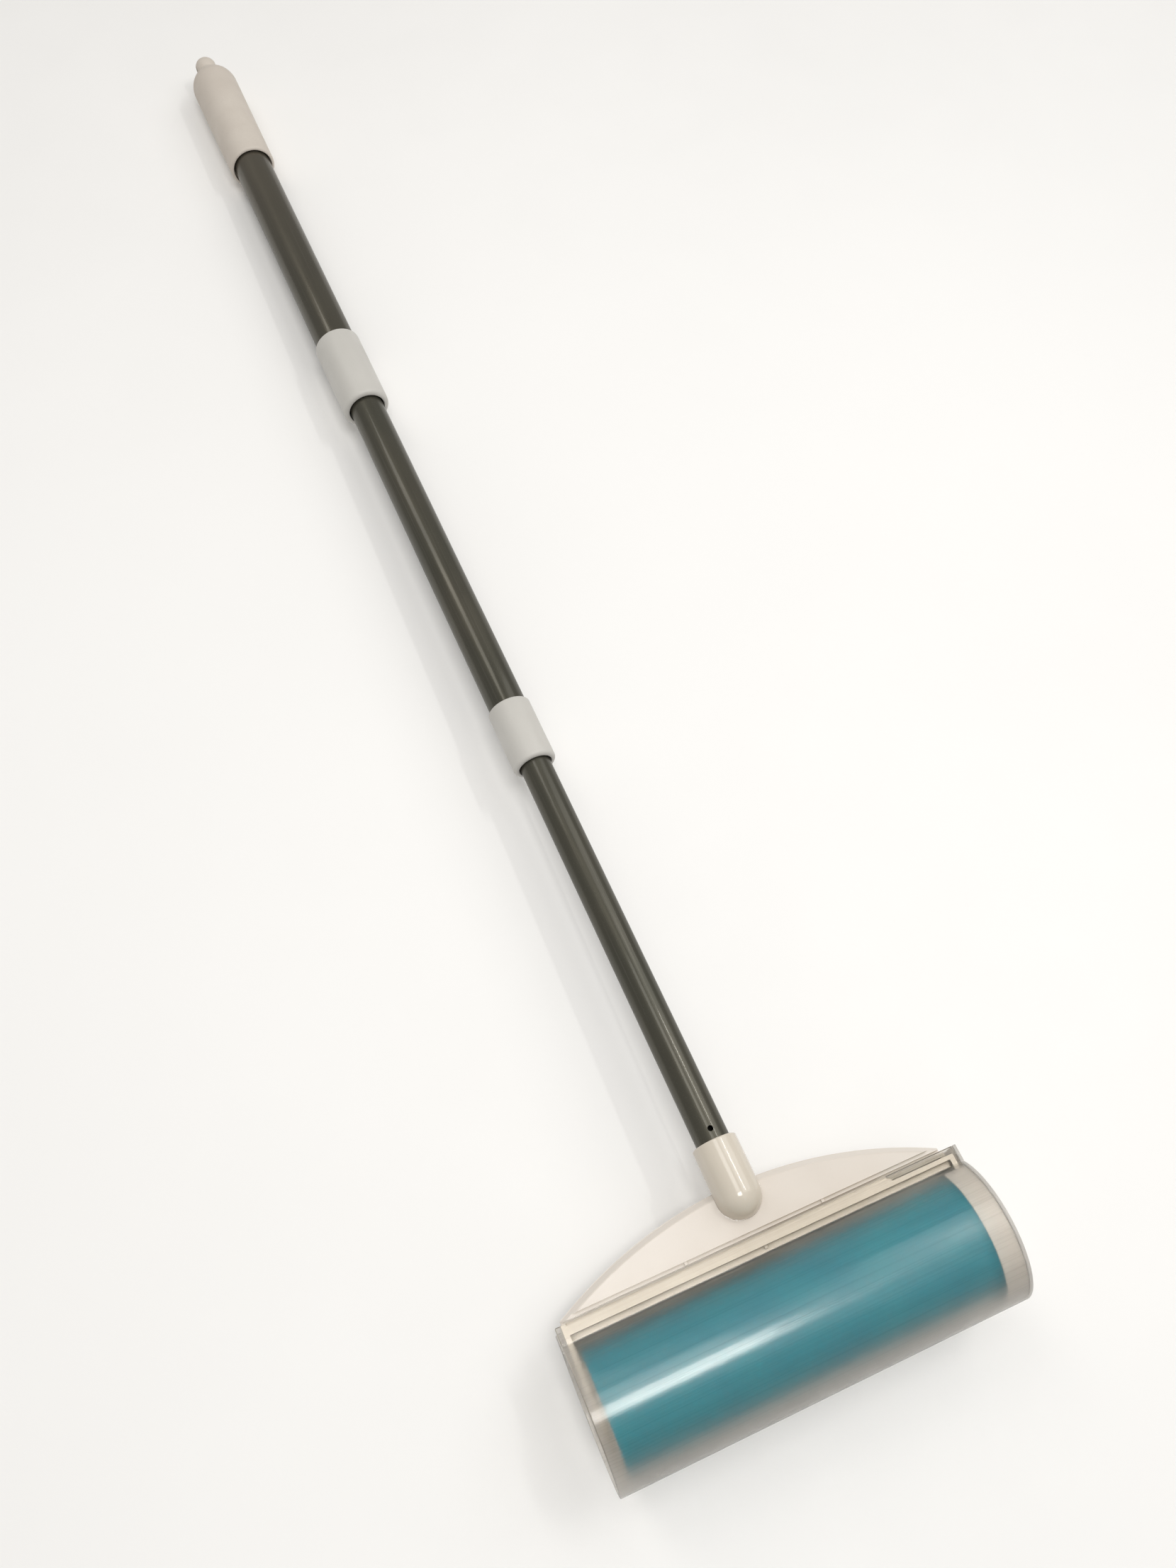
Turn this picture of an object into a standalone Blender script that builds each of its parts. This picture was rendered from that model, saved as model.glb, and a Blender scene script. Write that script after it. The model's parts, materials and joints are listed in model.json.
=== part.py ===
"""Reusable gel lint roller: a sticky roller in a fork, a sliding cover and a three-stage twist-lock pole.

Metres, +Z up. The roller lies along X, the pole runs along +Y, and the object lies down with its lowest
point at z = 0. Shapes are drawn around the middle of the roller's axle, and one empty carries them all to
the object's origin, the bottom centre of its bounding box.
"""

import math

import bmesh
import bpy
from mathutils import Vector

# General
GAP = 0.0003
ROUND = 2 * math.pi
ALONG_X = (0, 0, -math.pi / 2)
AGAINST_X = (0, 0, math.pi / 2)
ALONG_Z = (math.pi / 2, 0, 0)
FAR = 0.02
FINE_STEPS = 36
COARSE_STEPS = 24
BOSS_STEPS = 20
SMALL_STEPS = 16
SHARP_ANGLE = 32

# Sticky roller, along X
GEL_RADIUS = 0.0275
GEL_BORE = 0.0252
GEL_HALF = 0.0940
CORE_BORE = 0.0229
CORE_HALF = 0.0935
GEL_FILLET = 0.0005
JOURNAL_RADIUS = 0.0040
JOURNAL_END = 0.0985
JOURNAL_FILLET = 0.0004
CAP_FACE = 0.0946
CAP_DEPTH = 0.0105
CAP_WALL = 0.0018
CAP_HUB = 0.0070

# Fork: a channel along X with an arm at each end
ARM_INNER = 0.0953
ARM_OUTER = 0.0977
ARM_LOBE = 0.0125
ARM_LOBE_ANGLE = 57
ARM_SHOULDER_Y = 0.0275
ARM_WAIST = (0.0180, 0.0100)
BAR_FRONT = 0.0299
BAR_STEP = 0.0330
BAR_BACK = 0.0382
BAR_HALF_HEIGHT = 0.0137
BAR_STEP_DROP = 0.0018
BAR_WALL = 0.0020
TONGUE_IN = 0.0160
TONGUE_OUT = 0.0660
TONGUE_BACK = 0.0472
TONGUE_HALF = 0.0013
RIB_PLACES = (-0.064, -0.032, 0.0, 0.032)
RIB_HALF = 0.0008
NOTCH_LOW = (0.0620, 0.0350, 0.0030)
NOTCH_HIGH = (0.0985, 0.0400, 0.0200)
CATCH_OUTLINE = [(0.0628, 0.0346), (0.0665, 0.0346), (0.0655, 0.0363), (0.0640, 0.0368)]

# Cover: a round shell with a flat-sided neck that is open towards the pole
COVER_RADIUS = 0.0335
COVER_WALL = 0.0016
COVER_HALF = 0.1005
COVER_CAP = 0.0016
COVER_STEPS = 44
COVER_ROUNDING = 0.0005
NECK_HALF = 0.0157
NECK_BACK = 0.0380

# Wing: two shallow shells clamped round the fork's tongues
WING_FRONT = 0.0393
WING_APEX = 0.0643
WING_ARC = 0.2140
WING_HALF_WIDTH = 0.0965
WING_END = 0.0010
WING_HALF_HEIGHT = 0.0045
WING_SKIN = 0.0016
WING_SEAM = 0.00015
WING_LIP_BACK = 0.0418
WING_LIP_DROP = 0.0012
WING_SHOULDER = 0.0008
WING_BEVEL = 0.0030
WING_FLANGE = 0.0004
WING_STEPS = 28
BEVEL_LAYERS = ((0.25, 0.60), (0.60, 0.87), (1.00, 1.00))
TOP_BOSS = 0.0028
BOTTOM_BOSS = 0.0042
SCREW_X = 0.0440
SCREW_Y = 0.0440
SCREW_SHANK = 0.0012
SCREW_HOLE = 0.0015
SCREW_HEAD = 0.0026
SCREW_HEAD_DEPTH = 0.0014
SCREW_SINK = 0.0001
SCREW_POINT = 0.0004
SCREW_TAPER = 0.0008
SCREW_TIP_ROOM = 0.0010
SCREW_SLOT_HALF = 0.0003
SCREW_SLOT_DEPTH = 0.0006
POCKET_DEPTH = 0.0018

# Pole, along Y, a little above the roller's axle
POLE_RISE = 0.0050
TUBE_WALL = 0.0007
SOCKET_RADIUS = 0.0112
SOCKET_DOME_Y = 0.0585
SOCKET_RIM_Y = 0.0845
SOCKET_FLOOR_Y = 0.0622
SOCKET_FILLET = 0.0008
SOCKET_DOME_STEPS = 8
SOCKET_FOOT_HALF = 0.0090
SOCKET_FOOT_OVERLAP = 0.0050
BUTTON_HOLE_Y = 0.0898
BUTTON_HOLE_RADIUS = 0.0014

LOWER_TUBE = {"radius": 0.0085, "start": 0.0625, "end": 0.3640}
MIDDLE_TUBE = {"radius": 0.0105, "start": 0.3090, "end": 0.6500}
UPPER_TUBE = {"radius": 0.0125, "start": 0.5850, "end": 0.9190}
LOWER_COLLAR = {"radius": 0.0121, "start": 0.3038, "end": 0.3425}
UPPER_COLLAR = {"radius": 0.0145, "start": 0.5793, "end": 0.6376}
COLLAR_MOUTH_GAP = 0.0009
COLLAR_FILLET = 0.0016
BUSH_SETBACK = 0.0030
BUSH_LENGTH = 0.0180

# Twist lock on the top of each inner tube
PLUG_DEPTH = 0.0140
PLUG_FLANGE = 0.0022
STUD_RADIUS = 0.0030
STUD_LENGTH = 0.0260
STUD_HEAD_RADIUS = 0.0042
STUD_HEAD_LENGTH = 0.0015
SLEEVE_LENGTH = 0.0220
SLEEVE_THROAT = 0.0060
SLEEVE_LIP = 0.0013
SLEEVE_SLIT = 0.0016
WEDGE_LENGTH = 0.0115
WEDGE_CLEARANCE = 0.0004
WEDGE_SETBACK = 0.0005

# Grip
GRIP_START = 0.8223
GRIP_SHOULDER = 0.9145
GRIP_FLOOR = 0.9195
GRIP_START_RADIUS = 0.0154
GRIP_TOP_RADIUS = 0.0160
GRIP_SHOULDER_ANGLE = 61
GRIP_NECK_RADIUS = 0.0070
GRIP_NECK_Y = 0.0185
GRIP_MOUTH_DEPTH = 0.0040
KNOB_RADIUS = 0.0076
KNOB_Y = 0.9402
KNOB_START_ANGLE = -38
CORD_HOLE_RADIUS = 0.0031

# Where the middle of the roller's axle sits in the object's frame
AXLE_Y = -(KNOB_Y + KNOB_RADIUS - COVER_RADIUS) / 2
AXLE_Z = COVER_RADIUS

PALETTE = {
    "cream_plastic": ((0.78, 0.73, 0.64, 1.0), 0.38, 0.0),
    "white_plastic": ((0.82, 0.79, 0.74, 1.0), 0.30, 0.0),
    "beige_plastic": ((0.68, 0.63, 0.55, 1.0), 0.22, 0.0),
    "frosted_plastic": ((0.72, 0.70, 0.66, 0.45), 0.35, 0.0),
    "teal_gel": ((0.03, 0.32, 0.40, 1.0), 0.18, 0.0),
    "tube_paint": ((0.07, 0.068, 0.060, 1.0), 0.40, 0.3),
    "collar_plastic": ((0.62, 0.58, 0.54, 1.0), 0.42, 0.0),
    "grip_plastic": ((0.64, 0.59, 0.53, 1.0), 0.60, 0.0),
    "white_nylon": ((0.80, 0.79, 0.76, 1.0), 0.45, 0.0),
    "plated_steel": ((0.60, 0.60, 0.60, 1.0), 0.30, 1.0),
}


def clear_scene():
    for obj in list(bpy.data.objects):
        bpy.data.objects.remove(obj, do_unlink=True)


def make_material(name):
    colour, roughness, metallic = PALETTE[name]
    material = bpy.data.materials.new(name)
    material.use_nodes = True
    shader = material.node_tree.nodes["Principled BSDF"]
    shader.inputs["Base Color"].default_value = colour
    shader.inputs["Alpha"].default_value = colour[3]
    shader.inputs["Roughness"].default_value = roughness
    shader.inputs["Metallic"].default_value = metallic
    return material


def make_empty(name, parent=None, place=(0, 0, 0)):
    empty = bpy.data.objects.new(name, None)
    empty.location = place
    empty.parent = parent
    bpy.context.scene.collection.objects.link(empty)
    return empty


def finish_mesh(name, bm, material, parent, place=(0, 0, 0), turn=(0, 0, 0)):
    """Turns a bmesh into a smooth-shaded object whose sharp edges stay sharp."""
    bmesh.ops.recalc_face_normals(bm, faces=bm.faces)
    if bm.calc_volume(signed=True) < 0:
        bmesh.ops.reverse_faces(bm, faces=bm.faces)
    mesh = bpy.data.meshes.new(name)
    bm.to_mesh(mesh)
    bm.free()
    mesh.shade_smooth()
    mesh.set_sharp_from_angle(angle=math.radians(SHARP_ANGLE))
    mesh.materials.append(MATERIALS[material])
    obj = bpy.data.objects.new(name, mesh)
    obj.location = place
    obj.rotation_euler = turn
    obj.parent = parent
    bpy.context.scene.collection.objects.link(obj)
    return obj


def arc(centre, radius, start, end, steps):
    """Points from one angle to another, both included, in radians."""
    points = []
    for step in range(steps + 1):
        angle = start + (end - start) * step / steps
        points.append((centre[0] + radius * math.cos(angle), centre[1] + radius * math.sin(angle)))
    return points


def rounded(corners, steps=2):
    """An outline through corners (u, v, radius), where a radius above 0 turns that corner into an arc."""
    points = []
    for index, (u, v, radius) in enumerate(corners):
        if radius == 0:
            points.append((u, v))
            continue
        here = Vector((u, v))
        before = (Vector(corners[index - 1][:2]) - here).normalized()
        after = (Vector(corners[(index + 1) % len(corners)][:2]) - here).normalized()
        half = before.angle(after) / 2
        centre = here + (before + after).normalized() * radius / math.sin(half)
        reach = radius / math.tan(half)
        first = here + before * reach - centre
        last = here + after * reach - centre
        start = math.atan2(first.y, first.x)
        sweep = math.remainder(math.atan2(last.y, last.x) - start, ROUND)
        points += arc(centre, radius, start, start + sweep, steps)
    return points


def lathe(name, profile, material, parent, place=(0, 0, 0), turn=(0, 0, 0), steps=FINE_STEPS):
    """Spins (radius, y) points round Y. A profile either closes on itself or starts and ends on the axis."""
    bm = bmesh.new()
    verts = [bm.verts.new((radius, height, 0)) for radius, height in profile]
    edges = [bm.edges.new(pair) for pair in zip(verts, verts[1:])]
    if profile[0][0] > 0:
        edges.append(bm.edges.new((verts[-1], verts[0])))
    bmesh.ops.spin(
        bm, geom=verts + edges, cent=(0, 0, 0), axis=(0, 1, 0), angle=ROUND, steps=steps, use_merge=True
    )
    bmesh.ops.remove_doubles(bm, verts=bm.verts, dist=1e-7)
    return finish_mesh(name, bm, material, parent, place, turn)


def prism(name, outline, low, high, axis, material, parent, place=(0, 0, 0)):
    """Extrudes an outline along X, where it is (y, z), or along Z, where it is (x, y)."""
    bm = bmesh.new()
    along = Vector((1, 0, 0)) if axis == "X" else Vector((0, 0, 1))
    spots = [Vector((0, u, v)) if axis == "X" else Vector((u, v, 0)) for u, v in outline]
    face = bm.faces.new([bm.verts.new(spot + along * low) for spot in spots])
    raised = bmesh.ops.extrude_face_region(bm, geom=[face])["geom"]
    moved = [item for item in raised if isinstance(item, bmesh.types.BMVert)]
    bmesh.ops.translate(bm, verts=moved, vec=along * (high - low))
    return finish_mesh(name, bm, material, parent, place)


def block(name, low, high, material, parent):
    """A box between two corners."""
    outline = [(low[0], low[1]), (high[0], low[1]), (high[0], high[1]), (low[0], high[1])]
    return prism(name, outline, low[2], high[2], "Z", material, parent)


def loft(name, layers, material, parent):
    """A closed solid through flat outlines (points, z) with the same number of points each."""
    bm = bmesh.new()
    rings = [[bm.verts.new((x, y, z)) for x, y in points] for points, z in layers]
    bm.faces.new(rings[0])
    bm.faces.new(rings[-1])
    for lower, upper in zip(rings, rings[1:]):
        for index in range(len(lower)):
            after = (index + 1) % len(lower)
            bm.faces.new((lower[index], lower[after], upper[after], upper[index]))
    return finish_mesh(name, bm, material, parent)


def combine(target, tool, operation):
    """A Boolean with a hidden helper: "UNION" or "DIFFERENCE"."""
    tool.hide_render = True
    tool.display_type = "WIRE"
    modifier = target.modifiers.new(f"{operation.lower()}_{tool.name}", "BOOLEAN")
    modifier.operation = operation
    modifier.object = tool


def round_edges(obj, width, segments=2, angle=50):
    modifier = obj.modifiers.new("edge_rounding", "BEVEL")
    modifier.width = width
    modifier.segments = segments
    modifier.limit_method = "ANGLE"
    modifier.angle_limit = math.radians(angle)


def rod(radius, start, end):
    """Profile of a plain solid rod for lathe."""
    return [(0, start), (radius, start), (radius, end), (0, end)]


def ring(outer, bore, start, end, fillet=0.0):
    """Profile of a plain ring for lathe."""
    corners = [(bore, start, 0), (outer, start, fillet), (outer, end, fillet), (bore, end, 0)]
    return rounded(corners)


# Fork


def bar_outline():
    """Channel section (y, z): high rib at the back, a lower step in front, open towards the roller."""
    step_half = BAR_HALF_HEIGHT - BAR_STEP_DROP
    inner_half = step_half - BAR_WALL
    inner_back = BAR_BACK - BAR_WALL
    upper = [
        (BAR_BACK, BAR_HALF_HEIGHT),
        (BAR_STEP, BAR_HALF_HEIGHT),
        (BAR_STEP, step_half),
        (BAR_FRONT, step_half),
        (BAR_FRONT, inner_half),
        (inner_back, inner_half),
    ]
    return upper + [(y, -z) for y, z in reversed(upper)]


def arm_outline():
    """Side plate (y, z): as tall as the bar, narrowing to a round lobe at the axle."""
    start = math.radians(ARM_LOBE_ANGLE)
    lobe = arc((0, 0), ARM_LOBE, start, ROUND - start, 20)
    upper = [(BAR_BACK, BAR_HALF_HEIGHT), (ARM_SHOULDER_Y, BAR_HALF_HEIGHT), ARM_WAIST]
    lower = [(y, -z) for y, z in reversed(upper)]
    return upper + lobe + lower


def build_fork(parent):
    fork = prism("fork", bar_outline(), -ARM_OUTER, ARM_OUTER, "X", "cream_plastic", parent)
    for side, word in ((-1, "left"), (1, "right")):
        add_arm(fork, side, word, parent)
        add_tongue(fork, side, word, parent)
    for index, x in enumerate(RIB_PLACES):
        add_rib(fork, index, x, parent)
    add_latch_notch(fork, parent)
    pivot = rod(JOURNAL_RADIUS + GAP, -JOURNAL_END, JOURNAL_END)
    combine(fork, lathe("tool_pivot_holes", pivot, "cream_plastic", parent, turn=ALONG_X), "DIFFERENCE")
    for side, word in ((-1, "left"), (1, "right")):
        add_screw_hole(fork, f"tool_fork_hole_{word}", side * SCREW_X, parent)
    return fork


def add_arm(fork, side, word, parent):
    low, high = sorted((side * ARM_INNER, side * ARM_OUTER))
    arm = prism(f"tool_arm_{word}", arm_outline(), low, high, "X", "cream_plastic", parent)
    combine(fork, arm, "UNION")


def add_tongue(fork, side, word, parent):
    """The flat tongue behind the bar that the wing's shells clamp."""
    near, far = sorted((side * TONGUE_IN, side * TONGUE_OUT))
    low = (near, BAR_BACK - BAR_WALL / 2, -TONGUE_HALF)
    high = (far, TONGUE_BACK, TONGUE_HALF)
    combine(fork, block(f"tool_tongue_{word}", low, high, "cream_plastic", parent), "UNION")


def add_rib(fork, index, x, parent):
    height = BAR_HALF_HEIGHT - BAR_STEP_DROP - BAR_WALL / 2
    low = (x - RIB_HALF, BAR_FRONT + GAP, -height)
    high = (x + RIB_HALF, BAR_BACK - BAR_WALL / 2, height)
    combine(fork, block(f"tool_rib_{index}", low, high, "cream_plastic", parent), "UNION")


def add_latch_notch(fork, parent):
    """The cut behind the bar's right end, out through the arm, and the small catch on the rib that it frees."""
    combine(fork, block("tool_latch_notch", NOTCH_LOW, NOTCH_HIGH, "cream_plastic", parent), "DIFFERENCE")
    low = BAR_HALF_HEIGHT - BAR_STEP_DROP - BAR_WALL
    catch = prism("tool_latch_catch", CATCH_OUTLINE, low, BAR_HALF_HEIGHT, "Z", "cream_plastic", parent)
    combine(fork, catch, "UNION")


def add_screw_hole(target, name, x, parent, low=-FAR, high=FAR, pocket_floor=None):
    """Cuts a shank hole and, where a floor height is given, a wider pocket for the screw's head below it."""
    hole = rod(SCREW_HOLE, low, high)
    if pocket_floor is not None:
        pocket = SCREW_HEAD + GAP
        hole[1:2] = [(pocket, low), (pocket, pocket_floor), (SCREW_HOLE, pocket_floor)]
    place = (x, SCREW_Y, 0)
    combine(target, lathe(name, hole, "cream_plastic", parent, place, ALONG_Z, SMALL_STEPS), "DIFFERENCE")


# Wing


def wing_outline(inset, front):
    """Crescent (x, y): a straight front, short ends and one long arc behind, drawn in by the inset."""
    radius = WING_ARC - inset
    centre_y = WING_APEX - WING_ARC
    meets_front = math.sqrt(radius**2 - (front + WING_END - centre_y) ** 2)
    half_width = min(WING_HALF_WIDTH - inset, meets_front)
    start = math.asin(half_width / radius)
    back = arc((0, centre_y), radius, math.pi / 2 - start, math.pi / 2 + start, WING_STEPS)
    return [(-half_width, front), (half_width, front)] + back


def wing_shell(name, side, bevel, flange, parent):
    """One hollow shell above (side 1) or below (side -1) the seam."""
    layers = [
        (wing_outline(-flange, WING_FRONT), side * WING_SEAM),
        (wing_outline(-flange, WING_FRONT), side * (WING_SEAM + WING_SHOULDER)),
    ]
    for inset, height in BEVEL_LAYERS:
        layers.append((wing_outline(bevel * inset, WING_FRONT), side * WING_HALF_HEIGHT * height))
    shell = loft(name, layers, "white_plastic", parent)
    inside = wing_outline(WING_BEVEL + WING_SKIN, WING_FRONT + BAR_WALL)
    cavity = [(inside, -side * WING_SHOULDER), (inside, side * (WING_HALF_HEIGHT - WING_SKIN))]
    combine(shell, loft(f"tool_{name}_cavity", cavity, "white_plastic", parent), "DIFFERENCE")
    for hand, word in ((-1, "left"), (1, "right")):
        near, far = sorted((hand * (TONGUE_IN - GAP), hand * (TONGUE_OUT + GAP)))
        low = (near, BAR_FRONT, -TONGUE_HALF - GAP)
        high = (far, TONGUE_BACK + GAP, TONGUE_HALF + GAP)
        combine(shell, block(f"tool_{name}_slot_{word}", low, high, "white_plastic", parent), "DIFFERENCE")
    return shell


def add_boss(shell, name, x, radius, side, parent):
    """A screw boss from the shell's roof down to just clear of what it clamps."""
    low, high = sorted((side * (TONGUE_HALF + 1.4 * GAP), side * (WING_HALF_HEIGHT - WING_SKIN / 2)))
    place = (x, SCREW_Y, 0)
    boss = lathe(name, rod(radius, low, high), "white_plastic", parent, place, ALONG_Z, BOSS_STEPS)
    combine(shell, boss, "UNION")


def cut_socket_clearance(shell, name, parent):
    """Room for the pole socket, which passes through both shells."""
    room = socket_outer(GAP) + [(0, SOCKET_RIM_Y)]
    combine(shell, lathe(name, room, "white_plastic", parent, place=(0, 0, POLE_RISE)), "DIFFERENCE")


def cut_wing_lip(top, parent):
    """The narrow step along the front edge of the upper shell."""
    low = (-WING_HALF_WIDTH - FAR, BAR_FRONT, WING_HALF_HEIGHT - WING_LIP_DROP)
    high = (WING_HALF_WIDTH + FAR, WING_LIP_BACK, WING_HALF_HEIGHT + FAR)
    combine(top, block("tool_wing_lip", low, high, "white_plastic", parent), "DIFFERENCE")


def build_wing(parent):
    screw_places = ((-SCREW_X, "left"), (0, "socket"), (SCREW_X, "right"))
    top = wing_shell("wing_top_shell", 1, WING_BEVEL, 0.0, parent)
    bottom = wing_shell("wing_bottom_shell", -1, WING_BEVEL / 2, WING_FLANGE, parent)
    cut_wing_lip(top, parent)
    pilot_end = WING_HALF_HEIGHT - WING_SKIN / 2 - GAP
    pocket_floor = -WING_HALF_HEIGHT + POCKET_DEPTH
    for x, word in screw_places:
        add_boss(top, f"tool_boss_top_{word}", x, TOP_BOSS, 1, parent)
        add_boss(bottom, f"tool_boss_bottom_{word}", x, BOTTOM_BOSS, -1, parent)
        add_screw_hole(top, f"tool_pilot_{word}", x, parent, low=-WING_SHOULDER, high=pilot_end)
        add_screw_hole(bottom, f"tool_shank_hole_{word}", x, parent, pocket_floor=pocket_floor)
    cut_socket_clearance(top, "tool_socket_room_top", parent)
    cut_socket_clearance(bottom, "tool_socket_room_bottom", parent)
    for x, word in screw_places:
        build_screw("socket_screw" if word == "socket" else f"wing_screw_{word}", x, parent)


def build_screw(name, x, parent):
    """Self-tapping screw driven up from below, with a slotted pan head."""
    head_low = -WING_HALF_HEIGHT + SCREW_SINK
    head_high = head_low + SCREW_HEAD_DEPTH
    tip = WING_HALF_HEIGHT - WING_SKIN / 2 - SCREW_TIP_ROOM
    corners = [
        (0, head_low, 0),
        (SCREW_HEAD, head_low, SCREW_SLOT_DEPTH),
        (SCREW_HEAD, head_high, 0),
        (SCREW_SHANK, head_high, 0),
        (SCREW_SHANK, tip - SCREW_TAPER, 0),
        (SCREW_POINT, tip, 0),
        (0, tip, 0),
    ]
    place = (x, SCREW_Y, 0)
    screw = lathe(name, rounded(corners), "plated_steel", parent, place, ALONG_Z, SMALL_STEPS)
    low = (x - 2 * SCREW_HEAD, SCREW_Y - SCREW_SLOT_HALF, head_low - GAP)
    high = (x + 2 * SCREW_HEAD, SCREW_Y + SCREW_SLOT_HALF, head_low + SCREW_SLOT_DEPTH)
    combine(screw, block(f"tool_{name}_slot", low, high, "plated_steel", parent), "DIFFERENCE")


# Pole socket


def socket_outer(grow):
    """Outer profile of the socket from the tip of its dome to its rim, swollen by grow."""
    radius = SOCKET_RADIUS + grow
    dome = arc((0, SOCKET_DOME_Y), radius, -math.pi / 2, 0, SOCKET_DOME_STEPS)
    return [(0, dome[0][1])] + dome[1:] + [(radius, SOCKET_RIM_Y)]


def build_socket(parent):
    bore = LOWER_TUBE["radius"] + GAP
    corners = [
        (SOCKET_RADIUS, SOCKET_DOME_Y, 0),
        (SOCKET_RADIUS, SOCKET_RIM_Y, SOCKET_FILLET),
        (bore, SOCKET_RIM_Y, 0),
        (bore, SOCKET_FLOOR_Y, 0),
        (0, SOCKET_FLOOR_Y, 0),
    ]
    profile = socket_outer(0)[:-2] + rounded(corners)
    socket = lathe("pole_socket", profile, "beige_plastic", parent, place=(0, 0, POLE_RISE))
    low = (-SOCKET_FOOT_HALF, WING_FRONT + BAR_WALL + GAP, -TONGUE_HALF)
    high = (SOCKET_FOOT_HALF, SOCKET_DOME_Y - SOCKET_FOOT_OVERLAP, TONGUE_HALF)
    combine(socket, block("tool_socket_foot", low, high, "beige_plastic", parent), "UNION")
    add_screw_hole(socket, "tool_foot_hole", 0, parent)


# Sticky roller


def build_roller(parent):
    gel = ring(GEL_RADIUS, GEL_BORE, -GEL_HALF, GEL_HALF, GEL_FILLET)
    lathe("gel_sleeve", gel, "teal_gel", parent, turn=ALONG_X)
    core = ring(GEL_BORE - GAP, CORE_BORE, -CORE_HALF, CORE_HALF)
    lathe("roller_core", core, "cream_plastic", parent, turn=ALONG_X)
    for word, turn in (("left", AGAINST_X), ("right", ALONG_X)):
        lathe(f"end_cap_{word}", end_cap_profile(), "cream_plastic", parent, turn=turn, steps=COARSE_STEPS)


def end_cap_profile():
    """A cup that plugs the core, with a journal that turns in the fork's arm."""
    flange = CORE_HALF + GAP
    flange_radius = GEL_BORE - 2 * GAP
    spigot = CORE_BORE - GAP
    return rounded(
        [
            (0, JOURNAL_END, 0),
            (JOURNAL_RADIUS, JOURNAL_END, JOURNAL_FILLET),
            (JOURNAL_RADIUS, ARM_INNER - GAP, 0),
            (CAP_HUB, ARM_INNER - GAP, 0),
            (CAP_HUB, CAP_FACE, 0),
            (flange_radius, CAP_FACE, 0),
            (flange_radius, flange, 0),
            (spigot, flange, 0),
            (spigot, flange - CAP_DEPTH, 0),
            (spigot - CAP_WALL, flange - CAP_DEPTH, 0),
            (spigot - CAP_WALL, CAP_FACE - CAP_WALL, 0),
            (CAP_HUB, CAP_FACE - CAP_WALL, 0),
            (CAP_HUB, flange - CAP_DEPTH, 0),
            (0, flange - CAP_DEPTH, 0),
        ]
    )


# Cover


def cover_path(radius, half_height):
    """Keyhole path (y, z) from the neck's upper edge round the roller to its lower edge."""
    start = math.asin(half_height / radius)
    bend = arc((0, 0), radius, start, ROUND - start, COVER_STEPS)
    return [(NECK_BACK, half_height)] + bend + [(NECK_BACK, -half_height)]


def build_cover(parent):
    outer = cover_path(COVER_RADIUS, NECK_HALF)
    inner = cover_path(COVER_RADIUS - COVER_WALL, NECK_HALF - COVER_WALL)
    outline = outer + inner[::-1]
    shell_end = COVER_HALF - COVER_CAP - GAP
    prism("cover_shell", outline, -COVER_HALF, shell_end, "X", "frosted_plastic", parent)
    cap = prism("cover_end_cap", outer, COVER_HALF - COVER_CAP, COVER_HALF, "X", "frosted_plastic", parent)
    round_edges(cap, COVER_ROUNDING)


# Pole


def bore_of(tube):
    return tube["radius"] - TUBE_WALL


def build_tube(name, tube, parent):
    profile = ring(tube["radius"], bore_of(tube), tube["start"], tube["end"])
    return lathe(name, profile, "tube_paint", parent)


def build_collar(name, collar, tube, inner_tube, parent):
    """A collar on a tube's lower end; its mouth leaves a small gap round the tube that slides through it."""
    mouth = inner_tube["radius"] + COLLAR_MOUTH_GAP
    bore = tube["radius"] + GAP
    floor = tube["start"] - GAP
    corners = [
        (mouth, collar["start"], 0),
        (collar["radius"], collar["start"], COLLAR_FILLET),
        (collar["radius"], collar["end"], COLLAR_FILLET),
        (bore, collar["end"], 0),
        (bore, floor, 0),
        (mouth, floor, 0),
    ]
    lathe(name, rounded(corners), "collar_plastic", parent)


def build_bush(name, tube, inner_tube, parent):
    """The liner inside a tube's lower end that keeps the inner tube straight."""
    start = tube["start"] + BUSH_SETBACK
    profile = ring(bore_of(tube) - GAP, inner_tube["radius"] + GAP, start, start + BUSH_LENGTH)
    lathe(name, profile, "white_nylon", parent, steps=COARSE_STEPS)


def build_plug(name, tube, parent):
    """The plug in an inner tube's top end, with the stud that carries the lock."""
    seat = tube["end"] + GAP
    flange_top = seat + PLUG_FLANGE
    stud_top = flange_top + STUD_LENGTH
    profile = [
        (0, tube["end"] - PLUG_DEPTH),
        (bore_of(tube) - GAP, tube["end"] - PLUG_DEPTH),
        (bore_of(tube) - GAP, seat),
        (tube["radius"], seat),
        (tube["radius"], flange_top),
        (STUD_RADIUS, flange_top),
        (STUD_RADIUS, stud_top),
        (STUD_HEAD_RADIUS, stud_top),
        (STUD_HEAD_RADIUS, stud_top + STUD_HEAD_LENGTH),
        (0, stud_top + STUD_HEAD_LENGTH),
    ]
    lathe(name, profile, "white_nylon", parent, steps=COARSE_STEPS)


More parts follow.
